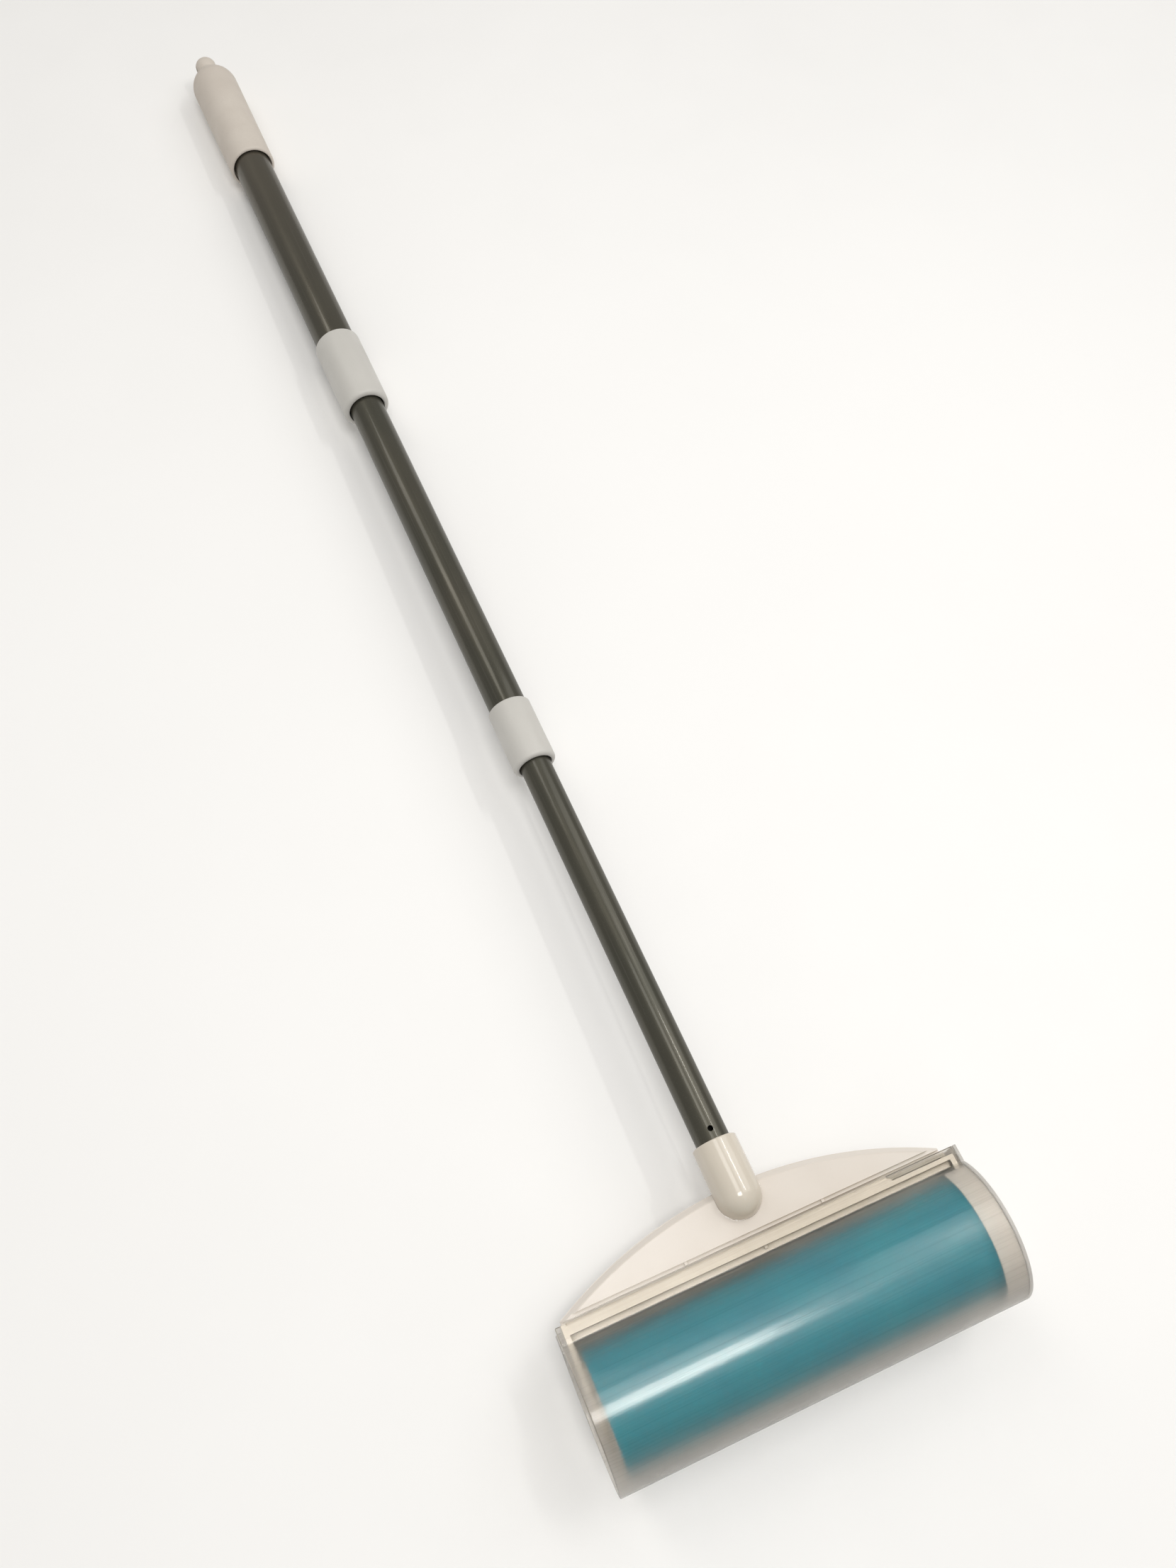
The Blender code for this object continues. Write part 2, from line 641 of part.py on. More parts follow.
def build_lock(stage, tube, outer_tube, sleeve_parent, wedge_parent):
    """A split sleeve that grips the outer tube's bore, and the wedge inside it that spreads it."""
    start = tube["end"] + PLUG_FLANGE + 2 * GAP
    end = start + SLEEVE_LENGTH
    radius = bore_of(outer_tube) - GAP
    mouth = radius - SLEEVE_LIP
    cone_start = start + SLEEVE_LENGTH / 3
    throat = SLEEVE_THROAT
    section = [(throat, start), (radius, start), (radius, end), (mouth, end), (throat, cone_start)]
    sleeve = lathe(f"{stage}_lock_sleeve", section, "white_nylon", sleeve_parent, steps=COARSE_STEPS)
    low = (0, start - GAP, -SLEEVE_SLIT / 2)
    high = (outer_tube["radius"], end + GAP, SLEEVE_SLIT / 2)
    combine(sleeve, block(f"tool_{stage}_slit", low, high, "white_nylon", sleeve_parent), "DIFFERENCE")

    slope = (mouth - SLEEVE_THROAT) / (end - cone_start)
    wedge_end = end - WEDGE_SETBACK
    wedge_start = wedge_end - WEDGE_LENGTH
    cone = [SLEEVE_THROAT + slope * (y - cone_start) - WEDGE_CLEARANCE for y in (wedge_start, wedge_end)]
    bore = STUD_RADIUS + GAP
    section = [(bore, wedge_start), (cone[0], wedge_start), (cone[1], wedge_end), (bore, wedge_end)]
    lathe(f"{stage}_lock_wedge", section, "white_nylon", wedge_parent, steps=COARSE_STEPS)


def grip_profile():
    """Blind sleeve that ends in a round shoulder, a slight neck and a hanging knob."""
    bore = UPPER_TUBE["radius"] + GAP
    mouth = UPPER_TUBE["radius"] + COLLAR_MOUTH_GAP
    mouth_end = GRIP_START + GRIP_MOUTH_DEPTH
    inside = [(0, GRIP_FLOOR), (bore, GRIP_FLOOR), (bore, mouth_end), (mouth, mouth_end), (mouth, GRIP_START)]
    start_edge = arc(
        (GRIP_START_RADIUS - COLLAR_FILLET, GRIP_START + COLLAR_FILLET), COLLAR_FILLET, -math.pi / 2, 0, 3
    )
    shoulder = arc((0, GRIP_SHOULDER), GRIP_TOP_RADIUS, 0, math.radians(GRIP_SHOULDER_ANGLE), 8)
    neck = [(GRIP_NECK_RADIUS, GRIP_SHOULDER + GRIP_NECK_Y)]
    knob = arc((0, KNOB_Y), KNOB_RADIUS, math.radians(KNOB_START_ANGLE), math.pi / 2, 8)
    return inside + start_edge + shoulder + neck + knob[:-1] + [(0, KNOB_Y + KNOB_RADIUS)]


def build_grip(parent):
    grip = lathe("grip", grip_profile(), "grip_plastic", parent)
    hole = rod(CORD_HOLE_RADIUS, -FAR, FAR)
    tool = lathe("tool_cord_hole", hole, "grip_plastic", parent, (0, KNOB_Y, 0), ALONG_X, SMALL_STEPS)
    combine(grip, tool, "DIFFERENCE")


def build_pole(head, bodies):
    lower = build_tube("lower_tube", LOWER_TUBE, head)
    drill = rod(BUTTON_HOLE_RADIUS, 0, FAR)
    tool = lathe("tool_button_hole", drill, "tube_paint", head, (0, BUTTON_HOLE_Y, 0), ALONG_Z, SMALL_STEPS)
    combine(lower, tool, "DIFFERENCE")
    build_plug("lower_lock_plug", LOWER_TUBE, head)
    build_lock("lower", LOWER_TUBE, MIDDLE_TUBE, bodies["lower_sleeve"], bodies["lower_wedge"])
    middle = bodies["middle_section"]
    build_tube("middle_tube", MIDDLE_TUBE, middle)
    build_collar("lower_collar", LOWER_COLLAR, MIDDLE_TUBE, LOWER_TUBE, middle)
    build_bush("lower_bush", MIDDLE_TUBE, LOWER_TUBE, middle)
    build_plug("upper_lock_plug", MIDDLE_TUBE, middle)
    build_lock("upper", MIDDLE_TUBE, UPPER_TUBE, bodies["upper_sleeve"], bodies["upper_wedge"])
    upper = bodies["upper_section"]
    build_tube("upper_tube", UPPER_TUBE, upper)
    build_collar("upper_collar", UPPER_COLLAR, UPPER_TUBE, MIDDLE_TUBE, upper)
    build_bush("upper_bush", UPPER_TUBE, MIDDLE_TUBE, upper)
    build_grip(upper)


def build_bodies(axle):
    """Empties on the joint axes, nested as the joints are."""
    bodies = {"roller": make_empty("roller_axis", axle), "cover": make_empty("cover_slide", axle)}
    pole = make_empty("pole_axis", axle, (0, 0, POLE_RISE))
    bodies["lower_sleeve"] = make_empty("lower_twist", pole)
    bodies["lower_wedge"] = make_empty("lower_wedge_travel", bodies["lower_sleeve"])
    bodies["middle_section"] = make_empty("lower_telescope", bodies["lower_sleeve"])
    bodies["upper_sleeve"] = make_empty("upper_twist", bodies["middle_section"])
    bodies["upper_wedge"] = make_empty("upper_wedge_travel", bodies["upper_sleeve"])
    bodies["upper_section"] = make_empty("upper_telescope", bodies["upper_sleeve"])
    return pole, bodies


clear_scene()
MATERIALS = {name: make_material(name) for name in PALETTE}
AXLE = make_empty("axle_centre", place=(0, AXLE_Y, AXLE_Z))
POLE, BODIES = build_bodies(AXLE)
build_fork(AXLE)
build_wing(AXLE)
build_socket(AXLE)
build_roller(BODIES["roller"])
build_cover(BODIES["cover"])
build_pole(POLE, BODIES)
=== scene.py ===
"""Looks of the long-handled gel lint roller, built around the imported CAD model.

Every visible moulding is rebuilt here with its fillets, seams and fine edges, in the CAD model's
own frame: metres, the roller along X, the pole along +Y, +Z up. Head shapes are drawn round the
roller's axle and pole shapes round the pole's axis. Each piece then rides on the body of the CAD
node that it stands for.
"""

import json
import math

import bmesh
import bpy
from mathutils import Matrix, Vector

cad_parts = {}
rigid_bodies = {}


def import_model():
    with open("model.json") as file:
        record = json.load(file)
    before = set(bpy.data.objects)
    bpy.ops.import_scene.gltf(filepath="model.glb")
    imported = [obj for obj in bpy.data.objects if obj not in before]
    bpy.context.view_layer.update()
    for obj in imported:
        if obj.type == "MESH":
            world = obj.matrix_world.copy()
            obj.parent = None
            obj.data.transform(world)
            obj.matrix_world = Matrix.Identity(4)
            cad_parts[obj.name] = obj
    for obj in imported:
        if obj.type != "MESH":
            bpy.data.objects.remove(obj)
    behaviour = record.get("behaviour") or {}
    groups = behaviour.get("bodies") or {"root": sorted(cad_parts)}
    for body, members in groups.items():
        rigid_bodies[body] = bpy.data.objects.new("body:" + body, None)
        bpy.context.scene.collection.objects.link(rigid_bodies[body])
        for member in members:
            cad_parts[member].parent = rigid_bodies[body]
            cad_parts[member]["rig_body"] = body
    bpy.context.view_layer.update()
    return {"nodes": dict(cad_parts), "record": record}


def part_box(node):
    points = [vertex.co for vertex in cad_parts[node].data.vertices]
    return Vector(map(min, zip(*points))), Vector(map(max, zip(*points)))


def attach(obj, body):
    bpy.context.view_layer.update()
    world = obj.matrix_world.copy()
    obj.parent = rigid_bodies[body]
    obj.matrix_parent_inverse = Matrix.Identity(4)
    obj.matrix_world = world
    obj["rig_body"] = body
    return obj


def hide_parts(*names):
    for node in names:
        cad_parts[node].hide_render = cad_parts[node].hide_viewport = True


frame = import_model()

# General: sizes in metres, turns as Euler angles, and the angles named below in degrees
ROUND = 2 * math.pi
ALONG_X = (0, 0, -math.pi / 2)
AGAINST_X = (0, 0, math.pi / 2)
ALONG_Z = (math.pi / 2, 0, 0)
GAP = 0.0003
FAR = 0.03
ROUND_STEPS = 120
SMALL_STEPS = 40
SHARP_ANGLE = 28
SOFT_ANGLE = 50
MERGE_DISTANCE = 1e-7
WELD_DISTANCE = 1e-6

SLOT_OF = {part["node"]: part["material_slot"] for part in frame["record"]["subparts"]}


def middle_of(node):
    low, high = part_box(node)
    return (low + high) / 2


def half_of(node):
    low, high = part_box(node)
    return (high - low) / 2


# Places and main sizes, read from the CAD model
AXLE = middle_of("gel_sleeve")
POLE = Vector((0, AXLE.y, middle_of("middle_tube").z))
GEL_RADIUS = half_of("gel_sleeve").z
GEL_HALF = half_of("gel_sleeve").x
COVER_RADIUS = half_of("cover_shell").z
COVER_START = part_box("cover_shell")[0].x
COVER_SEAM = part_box("cover_shell")[1].x
COVER_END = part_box("cover_end_cap")[1].x
FORK_HALF = half_of("fork").x
BAR_HALF_HEIGHT = half_of("fork").z
SOCKET_RADIUS = half_of("pole_socket").z
SOCKET_RIM_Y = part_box("pole_socket")[1].y - AXLE.y
WING_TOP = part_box("wing_top_shell")[1].z - AXLE.z
WING_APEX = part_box("wing_top_shell")[1].y - AXLE.y

# Sticky roller
GEL_BORE = 0.0252
GEL_FILLET = 0.0010
CORE_BORE = 0.0229
CORE_HALF = 0.0935
CAP_FACE = 0.0946
CAP_DISH = 0.0040
CAP_DEPTH = 0.0830
CAP_HUB = 0.0070
CAP_WALL = 0.0018
CAP_DISH_ROUNDING = 0.0006
CAP_RIM_ROUNDING = 0.0005
CAP_EDGE = 0.00012
CAP_RIBS = 6
CAP_RIB_HALF = 0.0008
CAP_RIB_RECESS = 0.0008
JOURNAL_RADIUS = 0.0040
JOURNAL_END = 0.0985

# Cover
COVER_WALL = 0.0016
COVER_STEPS = 150
COVER_ROUNDING = 0.0005
NECK_HALF = 0.0157
NECK_BACK = 0.0380
# The end plate's keeper ring is 1 mm thick, so its edges take a smaller rounding than the shell's
KEEPER_RADIUS = 0.0316
KEEPER_WALL = 0.0010
KEEPER_START = 0.0884
KEEPER_ANGLE = 30
PLATE_ROUNDING = 0.0003
# The frost thins out between these distances behind the axle, where it lies close to the bar
CLEAR_FROM = 0.028
CLEAR_TO = 0.031

# Fork
ARM_INNER = 0.0953
ARM_LOBE = 0.0125
ARM_LOBE_ANGLE = 57
ARM_LOBE_STEPS = 60
ARM_SHOULDER_Y = 0.0275
ARM_WAIST = (0.0180, 0.0100)
BAR_FRONT = 0.0299
BAR_STEP = 0.0330
BAR_BACK = 0.0382
BAR_STEP_DROP = 0.0018
BAR_WALL = 0.0020
BAR_BACK_ROUNDING = 0.0018
CORNER_SLOT = 0.0009
CORNER_SLOT_DEPTH = 0.0014
RIB_PLACES = (-0.064, -0.032, 0.0, 0.032)
RIB_HALF = 0.0008
BOSS_WALL = 0.0018
BOSS_HEIGHT = 0.0006
NOTCH_LOW = (0.0642, 0.0350, 0.0030)
NOTCH_HIGH = (0.0985, 0.0400, 0.0200)
CATCH_OUTLINE = [(0.0628, 0.0346), (0.0665, 0.0346), (0.0655, 0.0363), (0.0640, 0.0368)]
TICK_SIZE = (0.0007, 0.0014, 0.0007)
FORK_ROUNDING = 0.0003

# Wing
WING_FRONT = 0.0393
WING_ARC = 0.2140
WING_HALF_WIDTH = 0.0965
WING_END = 0.0010
WING_SEAM = 0.00015
WING_SHOULDER = 0.0009
WING_BEVEL = 0.0030
WING_ROLL = 0.0006
WING_FLANGE = 0.0004
WING_SKIN = 0.0016
WING_TOP_ROUNDING = 0.0003
WING_BOTTOM_ROUNDING = 0.00025
WING_SOFT_ANGLE = 20
WING_LIP_BACK = 0.0418
WING_LIP_DROP = 0.0012
WING_GROOVE_BACK = 0.0402
WING_GROOVE_DEPTH = 0.0034
WING_TICKS = (-0.035, 0.035)
WING_STEPS = 96
SCREW_X = 0.0440
SCREW_Y = 0.0440
SCREW_POCKET = 0.0029
SCREW_BOSS_WALL = 0.0013
SCREW_BOSS_TOP = 0.0018
POCKET_DEPTH = 0.0018

# Socket
SOCKET_DOME_Y = 0.0585
SOCKET_FLOOR_Y = 0.0622
SOCKET_RIM_ROUNDING = 0.0007
SOCKET_BORE_ROUNDING = 0.0005
SOCKET_ROOM = GAP / 9
DOME_STEPS = 28

# Pole, whose places along Y are measured from the roller's axle
TUBE_WALL = 0.0007
TUBE_EDGE = 0.00025
BUTTON_HOLE_Y = 0.0898
BUTTON_HOLE_RADIUS = 0.0014
BUTTON_HOLE_ROUNDING = 0.0002
MOUTH_GAP = 0.0009
# Between these places the tube paint takes a painted warm light, lighter and browner towards the grip
PAINTED_WARMTH_FROM = 0.55
PAINTED_WARMTH_TO = 0.90
COLLAR_LIP = 0.0030
COLLAR_TOP = 0.0009
GRIP_MOUTH_DEPTH = 0.0040
GRIP_FLOOR = 0.9195
GRIP_SHOULDER = 0.9145
GRIP_START_RADIUS = 0.0154
GRIP_TOP_RADIUS = 0.0160
GRIP_SHOULDER_ANGLE = 61
GRIP_NECK_RADIUS = 0.0070
GRIP_NECK_Y = 0.0185
KNOB_RADIUS = 0.0076
KNOB_START_ANGLE = -38
GRIP_LIP_STEPS = 10
GRIP_SHOULDER_STEPS = 24
KNOB_STEPS = 26
GRIP_ROUNDING = 0.00035
CORD_HOLE_RADIUS = 0.0031

# Stage
FLOOR_HALF = 6.0
FLOOR_CELLS = 24
FLOOR_GAP = 0.0002
WORLD_COLOUR = (1.0, 0.99, 0.97, 1)
WORLD_STRENGTH = 0.38

# Camera, measured from the middle of the roller's axle on the ground below it
CAMERA_PLACE = (-0.11824, -0.02576, 0.68122)
CAMERA_TILT = 27.777
CAMERA_ROLL = 1.070
CAMERA_YAW = -24.383
CAMERA_LENS = 31.19


# Shapes


def arc(centre, radius, start, end, steps):
    """Points from one angle to another, both included, in radians."""
    points = []
    for step in range(steps + 1):
        angle = start + (end - start) * step / steps
        points.append((centre[0] + radius * math.cos(angle), centre[1] + radius * math.sin(angle)))
    return points


def rounded(corners, steps=6):
    """An outline through corners (u, v, radius), where a radius above 0 turns that corner into an arc."""
    points = []
    for index, (u, v, radius) in enumerate(corners):
        if radius == 0:
            points.append((u, v))
            continue
        here = Vector((u, v))
        before = (Vector(corners[index - 1][:2]) - here).normalized()
        after = (Vector(corners[(index + 1) % len(corners)][:2]) - here).normalized()
        half = before.angle(after) / 2
        centre = here + (before + after).normalized() * radius / math.sin(half)
        reach = radius / math.tan(half)
        first = here + before * reach - centre
        last = here + after * reach - centre
        start = math.atan2(first.y, first.x)
        sweep = math.remainder(math.atan2(last.y, last.x) - start, ROUND)
        points += arc(centre, radius, start, start + sweep, steps)
    return points


def new_piece(name, bm, place, turn=(0, 0, 0)):
    """A smooth-shaded object from a bmesh, its faces turned outwards."""
    bmesh.ops.recalc_face_normals(bm, faces=bm.faces)
    if bm.calc_volume(signed=True) < 0:
        bmesh.ops.reverse_faces(bm, faces=bm.faces)
    mesh = bpy.data.meshes.new(name)
    bm.to_mesh(mesh)
    bm.free()
    mesh.shade_smooth()
    mesh.set_sharp_from_angle(angle=math.radians(SHARP_ANGLE))
    piece = bpy.data.objects.new(name, mesh)
    piece.location = place
    piece.rotation_euler = turn
    bpy.context.scene.collection.objects.link(piece)
    return piece


def lathe(name, profile, place=AXLE, turn=(0, 0, 0), steps=ROUND_STEPS):
    """Spins (radius, y) points round Y. A profile closes on itself, or starts and ends on the axis."""
    bm = bmesh.new()
    verts = [bm.verts.new((radius, height, 0)) for radius, height in profile]
    edges = [bm.edges.new(pair) for pair in zip(verts, verts[1:])]
    if profile[0][0] > 0:
        edges.append(bm.edges.new((verts[-1], verts[0])))
    bmesh.ops.spin(
        bm,
        geom=verts + edges,
        cent=(0, 0, 0),
        axis=(0, 1, 0),
        angle=ROUND,
        steps=steps,
        use_merge=True,
    )
    bmesh.ops.remove_doubles(bm, verts=bm.verts, dist=MERGE_DISTANCE)
    return new_piece(name, bm, place, turn)


def prism(name, outline, low, high, axis, place=AXLE):
    """Extrudes an outline along X, where it is (y, z), or along Z, where it is (x, y)."""
    bm = bmesh.new()
    along = Vector((1, 0, 0)) if axis == "X" else Vector((0, 0, 1))
    spots = [Vector((0, u, v)) if axis == "X" else Vector((u, v, 0)) for u, v in outline]
    face = bm.faces.new([bm.verts.new(spot + along * low) for spot in spots])
    raised = bmesh.ops.extrude_face_region(bm, geom=[face])["geom"]
    moved = [item for item in raised if isinstance(item, bmesh.types.BMVert)]
    bmesh.ops.translate(bm, verts=moved, vec=along * (high - low))
    return new_piece(name, bm, place)


def block(name, low, high, place=AXLE):
    """A box between two corners."""
    outline = [(low[0], low[1]), (high[0], low[1]), (high[0], high[1]), (low[0], high[1])]
    return prism(name, outline, low[2], high[2], "Z", place)


def loft(name, layers, place=AXLE):
    """A closed solid through flat outlines (points, z) with the same number of points each."""
    bm = bmesh.new()
    rings = [[bm.verts.new((x, y, z)) for x, y in points] for points, z in layers]
    bm.faces.new(rings[0])
    bm.faces.new(rings[-1])
    for lower, upper in zip(rings, rings[1:]):
        for index in range(len(lower)):
            after = (index + 1) % len(lower)
            bm.faces.new((lower[index], lower[after], upper[after], upper[index]))
    return new_piece(name, bm, place)


def rod(radius, start, end):
    """Profile of a plain solid rod for lathe."""
    return [(0, start), (radius, start), (radius, end), (0, end)]


def bake(piece):
    """Applies a piece's modifiers to its mesh."""
    graph = bpy.context.evaluated_depsgraph_get()
    mesh = bpy.data.meshes.new_from_object(piece.evaluated_get(graph))
    piece.modifiers.clear()
    piece.data = mesh


def combine(piece, tool, operation):
    """Joins or cuts with another solid, which is then removed."""
    modifier = piece.modifiers.new("solid", "BOOLEAN")
    modifier.operation = operation
    modifier.object = tool
    bake(piece)
    bpy.data.objects.remove(tool)


def soften(piece, width, segments=3, angle=38):
    """Rounds every sharp edge and keeps the flat faces flat in the light."""
    bevel = piece.modifiers.new("edge_rounding", "BEVEL")
    bevel.width = width
    bevel.segments = segments
    bevel.limit_method = "ANGLE"
    bevel.angle_limit = math.radians(angle)
    piece.modifiers.new("face_normals", "WEIGHTED_NORMAL").keep_sharp = True


def settle(piece, material, *nodes):
    """Gives a piece its material and the body of the CAD nodes it stands for, and hides those nodes."""
    piece.data.materials.clear()
    piece.data.materials.append(material)
    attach(piece, frame["nodes"][nodes[0]]["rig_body"])
    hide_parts(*nodes)
    return piece


# Materials


def start_material(name, colour, roughness, **settings):
    """A Principled material. Settings are socket names with _ for each space."""
    material = bpy.data.materials.new(name)
    material.use_nodes = True
    shader = material.node_tree.nodes["Principled BSDF"]
    shader.inputs["Base Color"].default_value = (*colour, 1)
    shader.inputs["Roughness"].default_value = roughness
    for socket, value in settings.items():
        shader.inputs[socket.replace("_", " ")].default_value = value
    return material


def noise(material, scale, stretch=(1, 1, 1), detail=4):
    """Noise in the object's own space, drawn out along the axes whose stretch is below 1."""
    nodes, links = material.node_tree.nodes, material.node_tree.links
    mapping = nodes.new("ShaderNodeMapping")
    mapping.inputs["Scale"].default_value = stretch
    links.new(nodes.new("ShaderNodeTexCoord").outputs["Object"], mapping.inputs["Vector"])
    texture = nodes.new("ShaderNodeTexNoise")
    texture.inputs["Scale"].default_value = scale
    texture.inputs["Detail"].default_value = detail
    links.new(mapping.outputs["Vector"], texture.inputs["Vector"])
    return texture.outputs["Fac"]


def coordinate(material, axis):
    """Place along one of the object's own axes, in metres."""
    nodes, links = material.node_tree.nodes, material.node_tree.links
    axes = nodes.new("ShaderNodeSeparateXYZ")
    links.new(nodes.new("ShaderNodeTexCoord").outputs["Object"], axes.inputs["Vector"])
    return axes.outputs[axis]


def spread(material, source, low, high, start=0.35, end=0.65):
    """Maps a pattern from start..end onto low..high."""
    ramp = material.node_tree.nodes.new("ShaderNodeMapRange")
    ramp.inputs["From Min"].default_value = start
    ramp.inputs["From Max"].default_value = end
    ramp.inputs["To Min"].default_value = low
    ramp.inputs["To Max"].default_value = high
    material.node_tree.links.new(source, ramp.inputs["Value"])
    return ramp.outputs["Result"]


def vary(material, socket, source, low, high, start=0.35, end=0.65):
    """Drives a socket of the shader from low to high with a pattern."""
    shader = material.node_tree.nodes["Principled BSDF"]
    value = spread(material, source, low, high, start, end)
    material.node_tree.links.new(value, shader.inputs[socket])


def tint(material, source, colour, amount, start=0.35, end=0.65):
    """Lays a second colour over the base where the pattern is high, up to amount."""
    tree = material.node_tree
    shader = tree.nodes["Principled BSDF"]
    mix = tree.nodes.new("ShaderNodeMix")
    mix.data_type = "RGBA"
    # A Mix node has a set of sockets for each data type, so its colours are found by number.
    factor, first, second, mixed = mix.inputs[0], mix.inputs[6], mix.inputs[7], mix.outputs[2]
    base = shader.inputs["Base Color"]
    if base.is_linked:
        tree.links.new(base.links[0].from_socket, first)
    else:
        first.default_value = base.default_value
    second.default_value = (*colour, 1)
    tree.links.new(spread(material, source, 0.0, amount, start, end), factor)
    tree.links.new(mixed, base)


def paint_hollow_shade(material, colour, amount, reach):
    """Lays a painted shade colour over hollows and inner corners, within reach of a facing surface,
    darkening them where shade falls.
    """
    tree = material.node_tree
    hollow = tree.nodes.new("ShaderNodeAmbientOcclusion")
    hollow.samples = 8
    hollow.only_local = True
    hollow.inputs["Distance"].default_value = reach
    tint(material, hollow.outputs["AO"], colour, amount, start=0.90, end=0.55)


def bump(material, source, height):
    """Raises the surface by height, in metres, where the pattern is high. Calls add up."""
    tree = material.node_tree
    normal = tree.nodes["Principled BSDF"].inputs["Normal"]
    node = tree.nodes.new("ShaderNodeBump")
    node.inputs["Distance"].default_value = height
    if normal.is_linked:
        tree.links.new(normal.links[0].from_socket, node.inputs["Normal"])
    tree.links.new(source, node.inputs["Height"])
    tree.links.new(node.outputs["Normal"], normal)


def moulded(name, colour, shade, roughness, grain=0.000012, **settings):
    """Moulded plastic: faint flow marks, a fine skin, handling marks and soft variation of gloss."""
    material = start_material(name, colour, roughness, **settings)
    tint(material, noise(material, 28), shade, 0.55)
    tint(material, noise(material, 900, detail=2), shade, 0.25, start=0.55, end=0.75)
    vary(material, "Roughness", noise(material, 60), roughness * 0.8, roughness * 1.25)
    bump(material, noise(material, 1400, detail=3), grain)
    bump(material, noise(material, 45), grain * 6)
    return material


def make_frost(name, transmission, streaks):
    """Frosted extrusion, see-through, with die lines along X, clearer where it lies close to the bar."""
    material = start_material(
        name,
        (0.74, 0.715, 0.68),
        0.40,
        Transmission_Weight=transmission,
        IOR=1.18,
        Coat_Roughness=0.10,
    )
    lines = noise(material, 1300, (0.003, 1, 1), 3)
    broad = noise(material, 200, (0.008, 1, 1), 3)
    vary(material, "Coat Roughness", broad, 0.05, 0.15)
    tint(material, lines, (0.50, 0.48, 0.45), streaks, start=0.50, end=0.72)
    bump(material, lines, 0.00016)
    bump(material, broad, 0.00014)
    behind = coordinate(material, "Y")
    vary(material, "Roughness", behind, 0.46, 0.20, CLEAR_FROM, CLEAR_TO)
    vary(material, "Coat Weight", behind, 0.44, 0.12, CLEAR_FROM, CLEAR_TO)
    return material


def make_gel():
    """Sticky gel: deep teal, wet gloss, a slightly uneven skin with caught dust."""
    material = start_material(
        "teal_gel",
        (0.002, 0.200, 0.280),
        0.20,
        Subsurface_Weight=0.15,
        Subsurface_Radius=(0.001, 0.004, 0.005),
        Subsurface_Scale=0.5,
        Coat_Weight=0.3,
        Coat_Roughness=0.06,
    )
    dust = noise(material, 1300, detail=1)
    tint(material, noise(material, 40), (0.005, 0.250, 0.315), 0.6)
    tint(material, dust, (0.55, 0.62, 0.60), 0.7, start=0.74, end=0.80)
    vary(material, "Roughness", noise(material, 300), 0.14, 0.30)
    bump(material, noise(material, 90), 0.00015)
    bump(material, dust, 0.00003)
    return material


def make_tube_paint():
    """Satin grey-brown paint with drawing lines and fine rub marks, and a painted warm light that makes
    it lighter and browner towards the grip.
    """
    material = start_material(
        "tube_paint",
        (0.070, 0.068, 0.052),
        0.32,
        Metallic=0.55,
        Specular_IOR_Level=0.4,
        Specular_Tint=(0.35, 0.35, 0.33, 1),
        Coat_Weight=0.40,
        Coat_Roughness=0.07,
    )
    lines = noise(material, 1500, (1, 0.006, 1), 3)
    tint(material, noise(material, 30, (1, 0.4, 1)), (0.092, 0.084, 0.064), 0.7)
    tint(material, lines, (0.16, 0.15, 0.13), 0.45, start=0.58, end=0.80)
    rubs = noise(material, 2500, detail=1)
    tint(material, rubs, (0.20, 0.19, 0.17), 0.35, start=0.66, end=0.78)
    # Painted warm light: lighter and browner towards the grip
    tint(material, coordinate(material, "Y"), (0.120, 0.104, 0.080), 0.8, PAINTED_WARMTH_FROM, PAINTED_WARMTH_TO)
    vary(material, "Roughness", noise(material, 70, (1, 0.3, 1)), 0.26, 0.42)
    bump(material, lines, 0.000012)
    bump(material, noise(material, 2600, detail=2), 0.000010)
    return material


def make_grip_plastic():
    """Matte plastic with a fine leathery grain and a few handling marks."""
    material = start_material("grip_plastic", (0.63, 0.575, 0.51), 0.62)
    tint(material, noise(material, 35), (0.56, 0.50, 0.44), 0.6)
    marks = noise(material, 500, (1, 3, 1), 3)
    tint(material, marks, (0.46, 0.41, 0.35), 0.35, start=0.60, end=0.78)
    vary(material, "Roughness", noise(material, 90), 0.52, 0.72)
    bump(material, noise(material, 1700, detail=4), 0.00006)
    bump(material, noise(material, 120), 0.00006)
    return material


def make_steel():
    """Dull zinc plating with a fine uneven grain."""
    material = start_material("plated_steel", (0.62, 0.61, 0.58), 0.30, Metallic=1.0)
    tint(material, noise(material, 700), (0.40, 0.39, 0.36), 0.6)
    vary(material, "Roughness", noise(material, 1500), 0.22, 0.42)
    bump(material, noise(material, 3000, (1, 1, 0.1)), 0.00001)
    return material


def make_floor_paint():
    """Plain pale paint with a faint unevenness."""
    material = start_material("floor_paint", (0.94, 0.935, 0.925), 0.75)
    tint(material, noise(material, 3), (0.91, 0.905, 0.895), 0.6)
    vary(material, "Roughness", noise(material, 20), 0.65, 0.85)
    bump(material, noise(material, 400), 0.00005)
    return material


# Sticky roller


def build_gel():
    """The gel sleeve and the pipe inside it."""
    corners = [
        (GEL_BORE, -GEL_HALF, GEL_FILLET / 3),
        (GEL_RADIUS, -GEL_HALF, GEL_FILLET),
        (GEL_RADIUS, GEL_HALF, GEL_FILLET),
        (GEL_BORE, GEL_HALF, GEL_FILLET / 3),
    ]
    settle(lathe("gel_skin", rounded(corners), turn=ALONG_X), GEL, "gel_sleeve")
    core = [
        (CORE_BORE, -CORE_HALF, GAP),
        (GEL_BORE - GAP, -CORE_HALF, GAP),
        (GEL_BORE - GAP, CORE_HALF, GAP),
        (CORE_BORE, CORE_HALF, GAP),
    ]
    settle(lathe("core_pipe", rounded(core), turn=ALONG_X), CAP, "roller_core")


